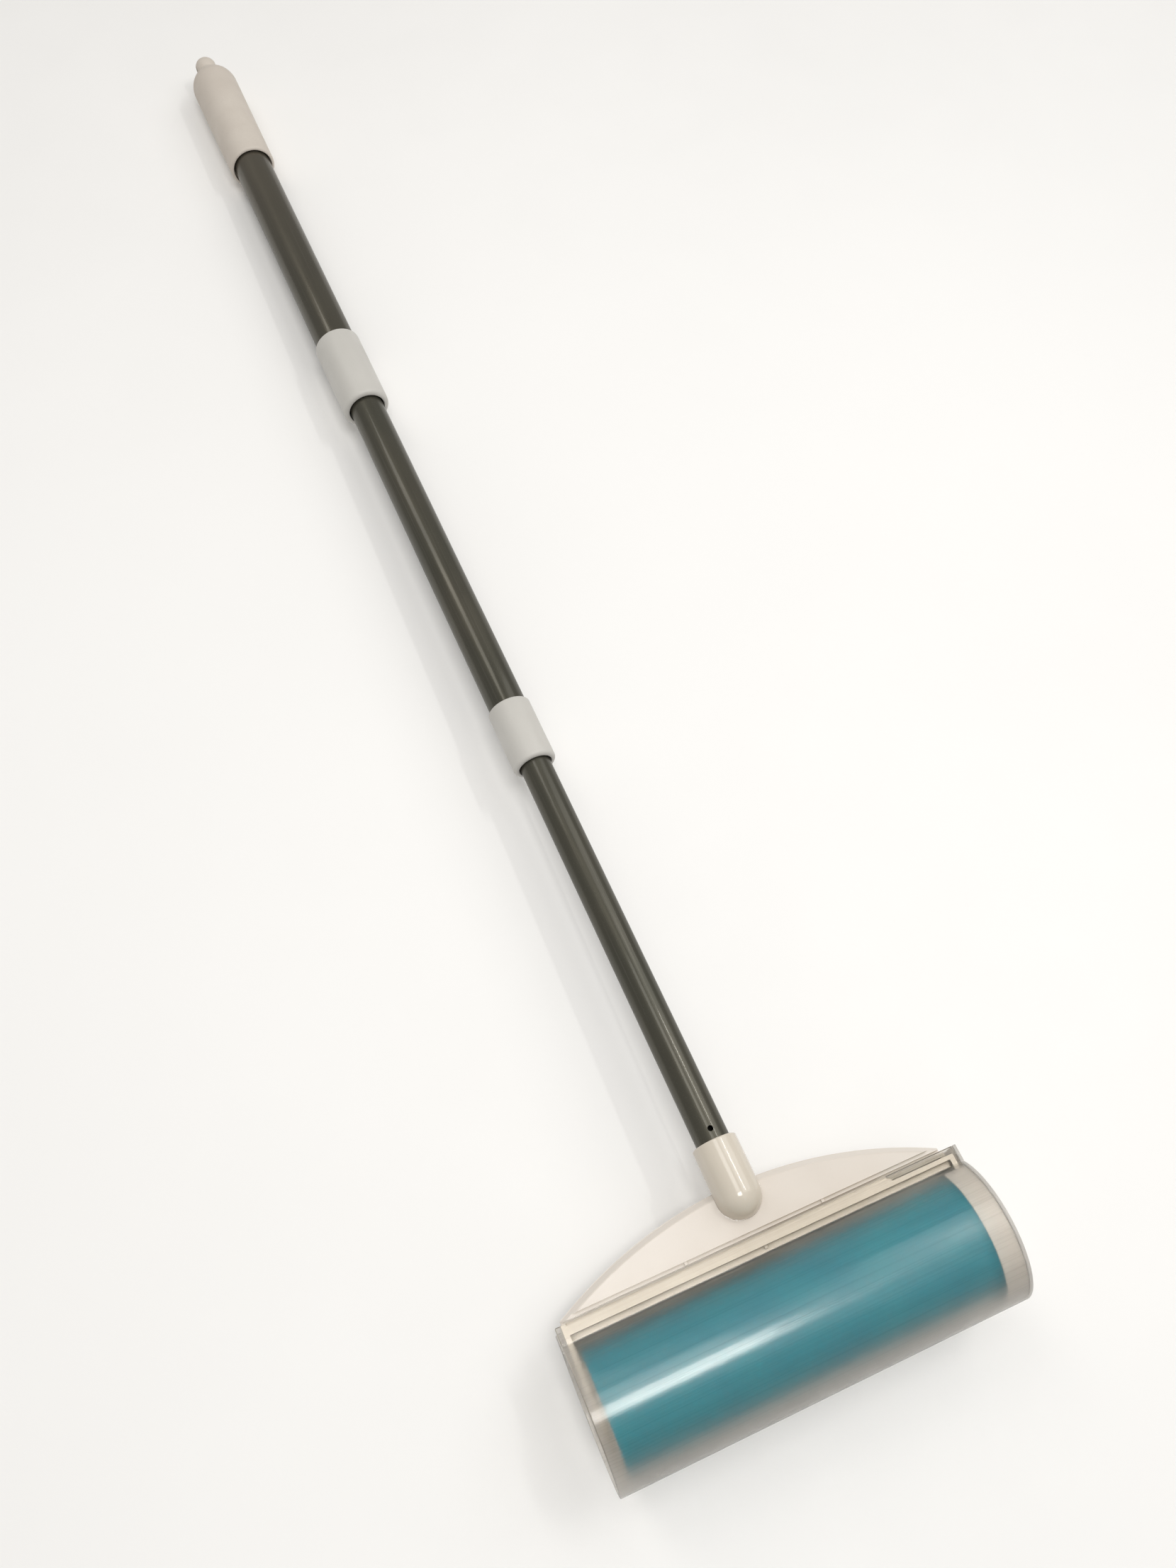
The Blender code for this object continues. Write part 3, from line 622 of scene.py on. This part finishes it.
def build_end_cap(word, turn):
    """A dished cap with a hub, radial ribs and the journal that turns in the arm."""
    rim = GEL_BORE - 2 * GAP
    spigot = CORE_BORE - GAP
    inside = spigot - CAP_WALL
    dish = CAP_FACE - CAP_DISH
    corners = [
        (0, JOURNAL_END, 0),
        (JOURNAL_RADIUS, JOURNAL_END, GAP),
        (JOURNAL_RADIUS, ARM_INNER - GAP, 0),
        (CAP_HUB, ARM_INNER - GAP, GAP),
        (CAP_HUB, dish, GAP),
        (inside, dish, CAP_DISH_ROUNDING),
        (inside, CAP_FACE, CAP_RIM_ROUNDING),
        (rim, CAP_FACE, GAP),
        (rim, CORE_HALF + GAP, 0),
        (spigot, CORE_HALF + GAP, 0),
        (spigot, CAP_DEPTH, GAP),
        (inside, CAP_DEPTH, GAP),
        (inside, dish - CAP_WALL, 0),
        (CAP_HUB - CAP_WALL, dish - CAP_WALL, 0),
        (CAP_HUB - CAP_WALL, CAP_DEPTH, 0),
        (0, CAP_DEPTH, 0),
    ]
    cap = lathe(f"cap_moulding_{word}", rounded(corners), turn=turn)
    for index in range(CAP_RIBS):
        low = (CAP_HUB - GAP, dish - GAP, -CAP_RIB_HALF)
        high = (inside + GAP, CAP_FACE - CAP_RIB_RECESS, CAP_RIB_HALF)
        rib = block("rib", low, high)
        rib.data.transform(Matrix.Rotation(ROUND * index / CAP_RIBS, 4, "Y"))
        rib.rotation_euler = turn
        bpy.context.view_layer.update()
        combine(cap, rib, "UNION")
    cap.data.set_sharp_from_angle(angle=math.radians(SHARP_ANGLE))
    soften(cap, CAP_EDGE, segments=2)
    settle(cap, CAP, f"end_cap_{word}")


# Cover


def cover_path(radius, half_height):
    """Keyhole path (y, z) from the neck's upper edge round the roller to its lower edge."""
    start = math.asin(half_height / radius)
    bend = arc((0, 0), radius, start, ROUND - start, COVER_STEPS)
    return [(NECK_BACK, half_height)] + bend + [(NECK_BACK, -half_height)]


def build_cover():
    """The frosted shell, open on the left, and its end plate with a keeper ring on the inner side."""
    outer = cover_path(COVER_RADIUS, NECK_HALF)
    inner = cover_path(COVER_RADIUS - COVER_WALL, NECK_HALF - COVER_WALL)
    shell = prism("cover_skin", outer + inner[::-1], COVER_START, COVER_SEAM, "X")
    soften(shell, COVER_ROUNDING)
    settle(shell, FROST, "cover_shell").visible_shadow = False
    plate = prism("cover_end_plate", outer, COVER_SEAM + GAP, COVER_END, "X")
    start = math.radians(KEEPER_ANGLE)
    keeper = arc((0, 0), KEEPER_RADIUS, start, ROUND - start, COVER_STEPS)
    keeper += arc((0, 0), KEEPER_RADIUS - KEEPER_WALL, ROUND - start, start, COVER_STEPS)
    keeper_ring = prism("keeper", keeper, KEEPER_START, COVER_SEAM + 2 * GAP, "X")
    combine(plate, keeper_ring, "UNION")
    soften(plate, PLATE_ROUNDING)
    settle(plate, FROST_CAP, "cover_end_cap").visible_shadow = False


# Fork


def bar_outline():
    """Channel section (y, z): high rib at the back, a lower step in front, open towards the roller."""
    step_half = BAR_HALF_HEIGHT - BAR_STEP_DROP
    inner_half = step_half - BAR_WALL
    inner_back = BAR_BACK - BAR_WALL
    upper = [
        (BAR_BACK, BAR_HALF_HEIGHT, BAR_BACK_ROUNDING),
        (BAR_STEP, BAR_HALF_HEIGHT, 0),
        (BAR_STEP, step_half, 0),
        (BAR_FRONT, step_half, 0),
        (BAR_FRONT, inner_half, 0),
        (inner_back, inner_half, 0),
    ]
    return rounded(upper + [(y, -z, radius) for y, z, radius in reversed(upper)])


def arm_outline():
    """Side plate (y, z): as tall as the bar, narrowing to a round lobe at the axle."""
    start = math.radians(ARM_LOBE_ANGLE)
    lobe = arc((0, 0), ARM_LOBE, start, ROUND - start, ARM_LOBE_STEPS)
    upper = [(BAR_BACK, BAR_HALF_HEIGHT), (ARM_SHOULDER_Y, BAR_HALF_HEIGHT), ARM_WAIST]
    return upper + lobe + [(y, -z) for y, z in reversed(upper)]


def build_fork():
    """Crossbar and arms, with ribs, the latch's notch and catch, a corner slot, a tick and bores."""
    step_top = BAR_HALF_HEIGHT - BAR_STEP_DROP
    fork = prism("fork_moulding", bar_outline(), -FORK_HALF, FORK_HALF, "X")
    for side in (-1, 1):
        low, high = sorted((side * ARM_INNER, side * FORK_HALF))
        combine(fork, prism("arm", arm_outline(), low, high, "X"), "UNION")
        boss = arc((0, 0), JOURNAL_RADIUS + BOSS_WALL, 0, ROUND, SMALL_STEPS)[:-1]
        low, high = sorted((side * (FORK_HALF - GAP), side * (FORK_HALF + BOSS_HEIGHT)))
        combine(fork, prism("boss", boss, low, high, "X"), "UNION")
    rib_half_height = step_top - BAR_WALL / 2
    for x in RIB_PLACES:
        low = (x - RIB_HALF, BAR_FRONT + GAP, -rib_half_height)
        high = (x + RIB_HALF, BAR_BACK - BAR_WALL / 2, rib_half_height)
        combine(fork, block("rib", low, high), "UNION")
    combine(fork, block("notch", NOTCH_LOW, NOTCH_HIGH), "DIFFERENCE")
    catch = prism("catch", CATCH_OUTLINE, step_top - BAR_WALL, BAR_HALF_HEIGHT, "Z")
    combine(fork, catch, "UNION")
    low = (ARM_INNER - CORNER_SLOT, BAR_FRONT - FAR, step_top - CORNER_SLOT_DEPTH)
    high = (ARM_INNER, BAR_STEP, step_top + FAR)
    combine(fork, block("slot", low, high), "DIFFERENCE")
    tick_x, tick_y, tick_z = TICK_SIZE
    low = (-tick_x, BAR_STEP - tick_y, step_top - tick_z)
    high = (tick_x, BAR_STEP + GAP, step_top + tick_z)
    combine(fork, block("tick", low, high), "UNION")
    bore = rod(JOURNAL_RADIUS + GAP, -4 * FAR, 4 * FAR)
    combine(fork, lathe("bore", bore, turn=ALONG_X, steps=SMALL_STEPS), "DIFFERENCE")
    soften(fork, FORK_ROUNDING, angle=SOFT_ANGLE)
    settle(fork, CREAM, "fork")


# Wing


def wing_outline(inset, front=WING_FRONT):
    """Crescent (x, y): a straight front, short ends and one long arc behind, drawn in by the inset."""
    radius = WING_ARC - inset
    centre_y = WING_APEX - WING_ARC
    meets_front = math.sqrt(radius**2 - (front + WING_END - centre_y) ** 2)
    half_width = min(WING_HALF_WIDTH - inset, meets_front)
    start = math.asin(half_width / radius)
    back = arc((0, centre_y), radius, math.pi / 2 - start, math.pi / 2 + start, WING_STEPS)
    return [(-half_width, front), (half_width, front)] + back


def wing_shell(name, side, bevel, flange):
    """A hollow shell above (side 1) or below (side -1) the seam, with a straight chamfer behind."""
    inside = wing_outline(WING_BEVEL + WING_SKIN, WING_FRONT + BAR_WALL)
    layers = [
        (wing_outline(-flange), side * WING_SEAM),
        (wing_outline(-flange), side * (WING_SEAM + WING_SHOULDER)),
        (wing_outline(bevel - WING_ROLL), side * (WING_TOP - WING_ROLL / 2)),
        (wing_outline(bevel), side * WING_TOP),
    ]
    shell = loft(name, layers)
    cavity = [(inside, -side * WING_SHOULDER), (inside, side * (WING_TOP - WING_SKIN))]
    combine(shell, loft("cavity", cavity), "DIFFERENCE")
    return shell


def socket_profile(grow):
    """Outer profile of the socket from the tip of its dome to its rim, swollen by grow."""
    radius = SOCKET_RADIUS + grow
    dome = arc((0, SOCKET_DOME_Y), radius, -math.pi / 2, 0, DOME_STEPS)
    return [(0, dome[0][1])] + dome[1:]


def cut_socket_room(shell):
    """Cuts the room that the socket sits in."""
    rim = [(SOCKET_RADIUS + SOCKET_ROOM, SOCKET_RIM_Y), (0, SOCKET_RIM_Y)]
    combine(shell, lathe("room", socket_profile(SOCKET_ROOM) + rim, POLE), "DIFFERENCE")


def build_wing():
    """Upper shell with its front lip, groove and ticks, and lower shell with its screw pockets."""
    lip_top = WING_TOP - WING_LIP_DROP
    top = wing_shell("wing_top_moulding", 1, WING_BEVEL, 0.0)
    low = (-WING_HALF_WIDTH - FAR, BAR_FRONT, lip_top)
    high = (WING_HALF_WIDTH + FAR, WING_LIP_BACK, WING_TOP + FAR)
    combine(top, block("lip", low, high), "DIFFERENCE")
    low = (-WING_HALF_WIDTH - FAR, BAR_FRONT, WING_TOP - WING_GROOVE_DEPTH)
    high = (WING_HALF_WIDTH + FAR, WING_GROOVE_BACK, WING_TOP + FAR)
    combine(top, block("groove", low, high), "DIFFERENCE")
    tick_x, _, tick_z = TICK_SIZE
    for x in WING_TICKS:
        low = (x - tick_x, WING_GROOVE_BACK, lip_top - GAP)
        high = (x + tick_x, WING_LIP_BACK, lip_top + tick_z)
        combine(top, block("tick", low, high), "UNION")
    cut_socket_room(top)
    soften(top, WING_TOP_ROUNDING, angle=WING_SOFT_ANGLE)
    settle(top, WHITE, "wing_top_shell")
    bottom = wing_shell("wing_bottom_moulding", -1, WING_BEVEL / 2, WING_FLANGE)
    boss = rod(SCREW_POCKET + SCREW_BOSS_WALL, -WING_TOP + GAP, -SCREW_BOSS_TOP)
    pocket = rod(SCREW_POCKET, -FAR, -WING_TOP + POCKET_DEPTH)
    for x in (-SCREW_X, 0, SCREW_X):
        place = AXLE + Vector((x, SCREW_Y, 0))
        combine(bottom, lathe("boss", boss, place, ALONG_Z, SMALL_STEPS), "UNION")
        combine(bottom, lathe("pocket", pocket, place, ALONG_Z, SMALL_STEPS), "DIFFERENCE")
    cut_socket_room(bottom)
    soften(bottom, WING_BOTTOM_ROUNDING, segments=2, angle=WING_SOFT_ANGLE)
    settle(bottom, WHITE, "wing_bottom_shell")


def build_socket():
    """Domed socket at the foot of the pole."""
    bore = half_of("lower_tube").z + GAP
    corners = [
        (SOCKET_RADIUS, SOCKET_DOME_Y, 0),
        (SOCKET_RADIUS, SOCKET_RIM_Y, SOCKET_RIM_ROUNDING),
        (bore, SOCKET_RIM_Y, SOCKET_BORE_ROUNDING),
        (bore, SOCKET_FLOOR_Y, 0),
        (0, SOCKET_FLOOR_Y, 0),
    ]
    socket = lathe("socket_moulding", socket_profile(0)[:-1] + rounded(corners), POLE)
    settle(socket, BEIGE, "pole_socket")


# Pole


def span_of(node):
    """Start and end along the pole from the roller's axle, and the outer radius."""
    low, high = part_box(node)
    return low.y - AXLE.y, high.y - AXLE.y, (high.z - low.z) / 2


def build_tube(node):
    start, end, radius = span_of(node)
    corners = [
        (radius - TUBE_WALL, start, TUBE_EDGE),
        (radius, start, TUBE_EDGE),
        (radius, end, TUBE_EDGE),
        (radius - TUBE_WALL, end, TUBE_EDGE),
    ]
    return lathe(node.replace("tube", "pipe"), rounded(corners), POLE)


def build_tubes():
    """The pole's three tubes, the lowest with a hole drilled above the socket."""
    for node in ("lower_tube", "middle_tube", "upper_tube"):
        tube = build_tube(node)
        if node == "lower_tube":
            place = POLE + Vector((0, BUTTON_HOLE_Y, 0))
            hole = rod(BUTTON_HOLE_RADIUS, 0, FAR)
            combine(tube, lathe("hole", hole, place, ALONG_Z, SMALL_STEPS), "DIFFERENCE")
            soften(tube, BUTTON_HOLE_ROUNDING, angle=SOFT_ANGLE)
        settle(tube, TUBE_PAINT, node)


def build_collar(node, tube, inner_tube):
    """A collar with a full round lip at its mouth and a thin edge at its top."""
    start, end, radius = span_of(node)
    tube_start, _, tube_radius = span_of(tube)
    mouth = span_of(inner_tube)[2] + MOUTH_GAP
    bore = tube_radius + GAP
    corners = [
        (mouth, start, GAP),
        (radius, start, min(COLLAR_LIP, radius - mouth - 2 * GAP)),
        (radius, end, COLLAR_TOP),
        (bore, end, GAP / 2),
        (bore, tube_start - GAP, 0),
        (mouth, tube_start - GAP, 0),
    ]
    settle(lathe(f"{node}_moulding", rounded(corners), POLE), COLLAR, node)


def build_grip():
    """Grip with a rounded mouth, a domed shoulder, and a knob with the cord's hole through it."""
    start, end, _ = span_of("grip")
    tube_radius = span_of("upper_tube")[2]
    mouth = tube_radius + MOUTH_GAP
    bore = tube_radius + GAP
    mouth_end = start + GRIP_MOUTH_DEPTH
    lip = GRIP_START_RADIUS - mouth - GAP
    knob_y = end - KNOB_RADIUS
    inside = [
        (0, GRIP_FLOOR),
        (bore, GRIP_FLOOR),
        (bore, mouth_end),
        (mouth, mouth_end),
        (mouth, start + GAP),
    ]
    edge = arc((GRIP_START_RADIUS - lip, start + lip), lip, -math.pi / 2, 0, GRIP_LIP_STEPS)
    shoulder_end = math.radians(GRIP_SHOULDER_ANGLE)
    shoulder = arc((0, GRIP_SHOULDER), GRIP_TOP_RADIUS, 0, shoulder_end, GRIP_SHOULDER_STEPS)
    neck = [(GRIP_NECK_RADIUS, GRIP_SHOULDER + GRIP_NECK_Y)]
    knob_start = math.radians(KNOB_START_ANGLE)
    knob = arc((0, knob_y), KNOB_RADIUS, knob_start, math.pi / 2, KNOB_STEPS)[:-1] + [(0, end)]
    grip = lathe("grip_moulding", inside + edge + shoulder + neck + knob, POLE)
    hole = rod(CORD_HOLE_RADIUS, -FAR, FAR)
    place = POLE + Vector((0, knob_y, 0))
    combine(grip, lathe("hole", hole, place, ALONG_X, SMALL_STEPS), "DIFFERENCE")
    soften(grip, GRIP_ROUNDING, angle=SOFT_ANGLE)
    settle(grip, GRIP, "grip")


# Carried-over CAD nodes


def paint_cad_nodes():
    """Finishes for the small inner pieces that keep their CAD shape."""
    finishes = {"white_nylon": NYLON, "plated_steel": STEEL}
    for name, node in frame["nodes"].items():
        if SLOT_OF[name] in finishes:
            for slot in node.material_slots:
                slot.material = finishes[SLOT_OF[name]]
            node.modifiers.new("weld", "WELD").merge_threshold = WELD_DISTANCE


# Stage


def build_floor():
    """A wide pale floor through the lowest lines of the cover and of the grip."""
    cover_foot = Vector((0, AXLE.y, AXLE.z - COVER_RADIUS))
    grip_foot = Vector((0, AXLE.y + GRIP_SHOULDER, POLE.z - GRIP_TOP_RADIUS))
    slope = (grip_foot - cover_foot).normalized()
    bm = bmesh.new()
    bmesh.ops.create_grid(bm, x_segments=FLOOR_CELLS, y_segments=FLOOR_CELLS, size=FLOOR_HALF)
    mesh = bpy.data.meshes.new("floor")
    bm.to_mesh(mesh)
    bm.free()
    floor = bpy.data.objects.new("floor", mesh)
    floor.location = cover_foot - Vector((0, 0, FLOOR_GAP))
    floor.rotation_euler = (math.atan2(slope.z, slope.y), 0, 0)
    mesh.materials.append(make_floor_paint())
    bpy.context.scene.collection.objects.link(floor)


def add_light(name, place, size, power, colour, target=None):
    """A rectangular lamp, facing straight down unless it has a target."""
    data = bpy.data.lights.new(name, "AREA")
    data.shape = "RECTANGLE"
    data.size, data.size_y = size
    data.energy = power
    data.color = colour
    light = bpy.data.objects.new(name, data)
    light.location = (place[0], place[1] + AXLE.y, place[2])
    if target:
        aim = Vector((target[0], target[1] + AXLE.y, target[2])) - light.location
        light.rotation_euler = aim.to_track_quat("-Z", "Y").to_euler()
    bpy.context.scene.collection.objects.link(light)


def build_lights():
    """Lamps placed from the ground below the roller's axle, and an even pale surround."""
    add_light("ceiling_lamp", (-0.03, -0.09, 1.50), (0.50, 0.40), 7.0, (1.0, 0.985, 0.96))
    add_light("second_lamp", (-0.04, 0.42, 1.50), (0.45, 0.45), 1.8, (1.0, 0.99, 0.98))
    add_light("side_lamp", (0.55, -0.42, 1.50), (1.0, 0.7), 1.0, (1.0, 0.98, 0.95), (0, 0, 0))
    add_light("soft_box", (1.3, 0.55, 1.7), (1.6, 1.6), 11, (1.0, 0.99, 0.97), (0, 0.4, 0))
    add_light("far_lamp", (-0.38, 1.45, 1.50), (0.5, 0.9), 4.0, (1.0, 0.97, 0.92), (0, 0.5, 0))
    add_light("strip_lamp", (0.85, 0.35, 1.45), (0.5, 0.05), 2.2, (1.0, 0.98, 0.95), (0, 0.35, 0))
    world = bpy.data.worlds.new("studio")
    world.use_nodes = True
    background = world.node_tree.nodes["Background"]
    background.inputs["Color"].default_value = WORLD_COLOUR
    background.inputs["Strength"].default_value = WORLD_STRENGTH
    bpy.context.scene.world = world


def build_camera():
    """The photograph's view."""
    data = bpy.data.cameras.new("camera")
    data.lens = CAMERA_LENS
    data.clip_start = 0.01
    camera = bpy.data.objects.new("camera", data)
    place = Matrix.Translation(Vector(CAMERA_PLACE) + Vector((0, AXLE.y, AXLE.z - COVER_RADIUS)))
    yaw = Matrix.Rotation(math.radians(CAMERA_YAW), 4, "Z")
    tilt = Matrix.Rotation(math.radians(CAMERA_TILT), 4, "X")
    roll = Matrix.Rotation(math.radians(CAMERA_ROLL), 4, "Z")
    camera.matrix_world = place @ yaw @ tilt @ roll
    bpy.context.scene.collection.objects.link(camera)
    bpy.context.scene.camera = camera


# Finishes. CREAM is the fork's, and CAP is a slightly lighter cream on the roller, with no painted shade
# in its hollows
CREAM = moulded("cream_plastic", (0.61, 0.565, 0.49), (0.55, 0.505, 0.43), 0.34)
CAP = moulded("cap_plastic", (0.64, 0.60, 0.53), (0.58, 0.54, 0.465), 0.34)
WHITE = moulded(
    "white_plastic", (0.73, 0.67, 0.605), (0.69, 0.63, 0.56), 0.16, Specular_IOR_Level=0.8
)
BEIGE = moulded(
    "beige_plastic", (0.66, 0.60, 0.51), (0.60, 0.54, 0.45), 0.16, Coat_Weight=0.4
)
COLLAR = moulded(
    "collar_plastic", (0.575, 0.56, 0.525), (0.52, 0.505, 0.47), 0.45, grain=0.00003
)
NYLON = moulded("white_nylon", (0.80, 0.79, 0.76), (0.74, 0.73, 0.69), 0.45)
FROST = make_frost("frosted_shell", 0.98, 0.5)
FROST_CAP = make_frost("frosted_cap", 0.45, 0.05)
GEL = make_gel()
TUBE_PAINT = make_tube_paint()
GRIP = make_grip_plastic()
STEEL = make_steel()
# Painted shade: warm dark tints laid over the fork's and the wing's hollows, grooves and inner corners
paint_hollow_shade(CREAM, (0.20, 0.165, 0.10), 1.0, 0.012)
paint_hollow_shade(WHITE, (0.36, 0.29, 0.19), 0.5, 0.004)

build_camera()
build_gel()
build_end_cap("left", AGAINST_X)
build_end_cap("right", ALONG_X)
build_cover()
build_fork()
build_wing()
build_socket()
build_tubes()
build_collar("lower_collar", "middle_tube", "lower_tube")
build_collar("upper_collar", "upper_tube", "middle_tube")
build_grip()
paint_cad_nodes()
build_floor()
build_lights()

bpy.context.scene.view_settings.view_transform = "Standard"
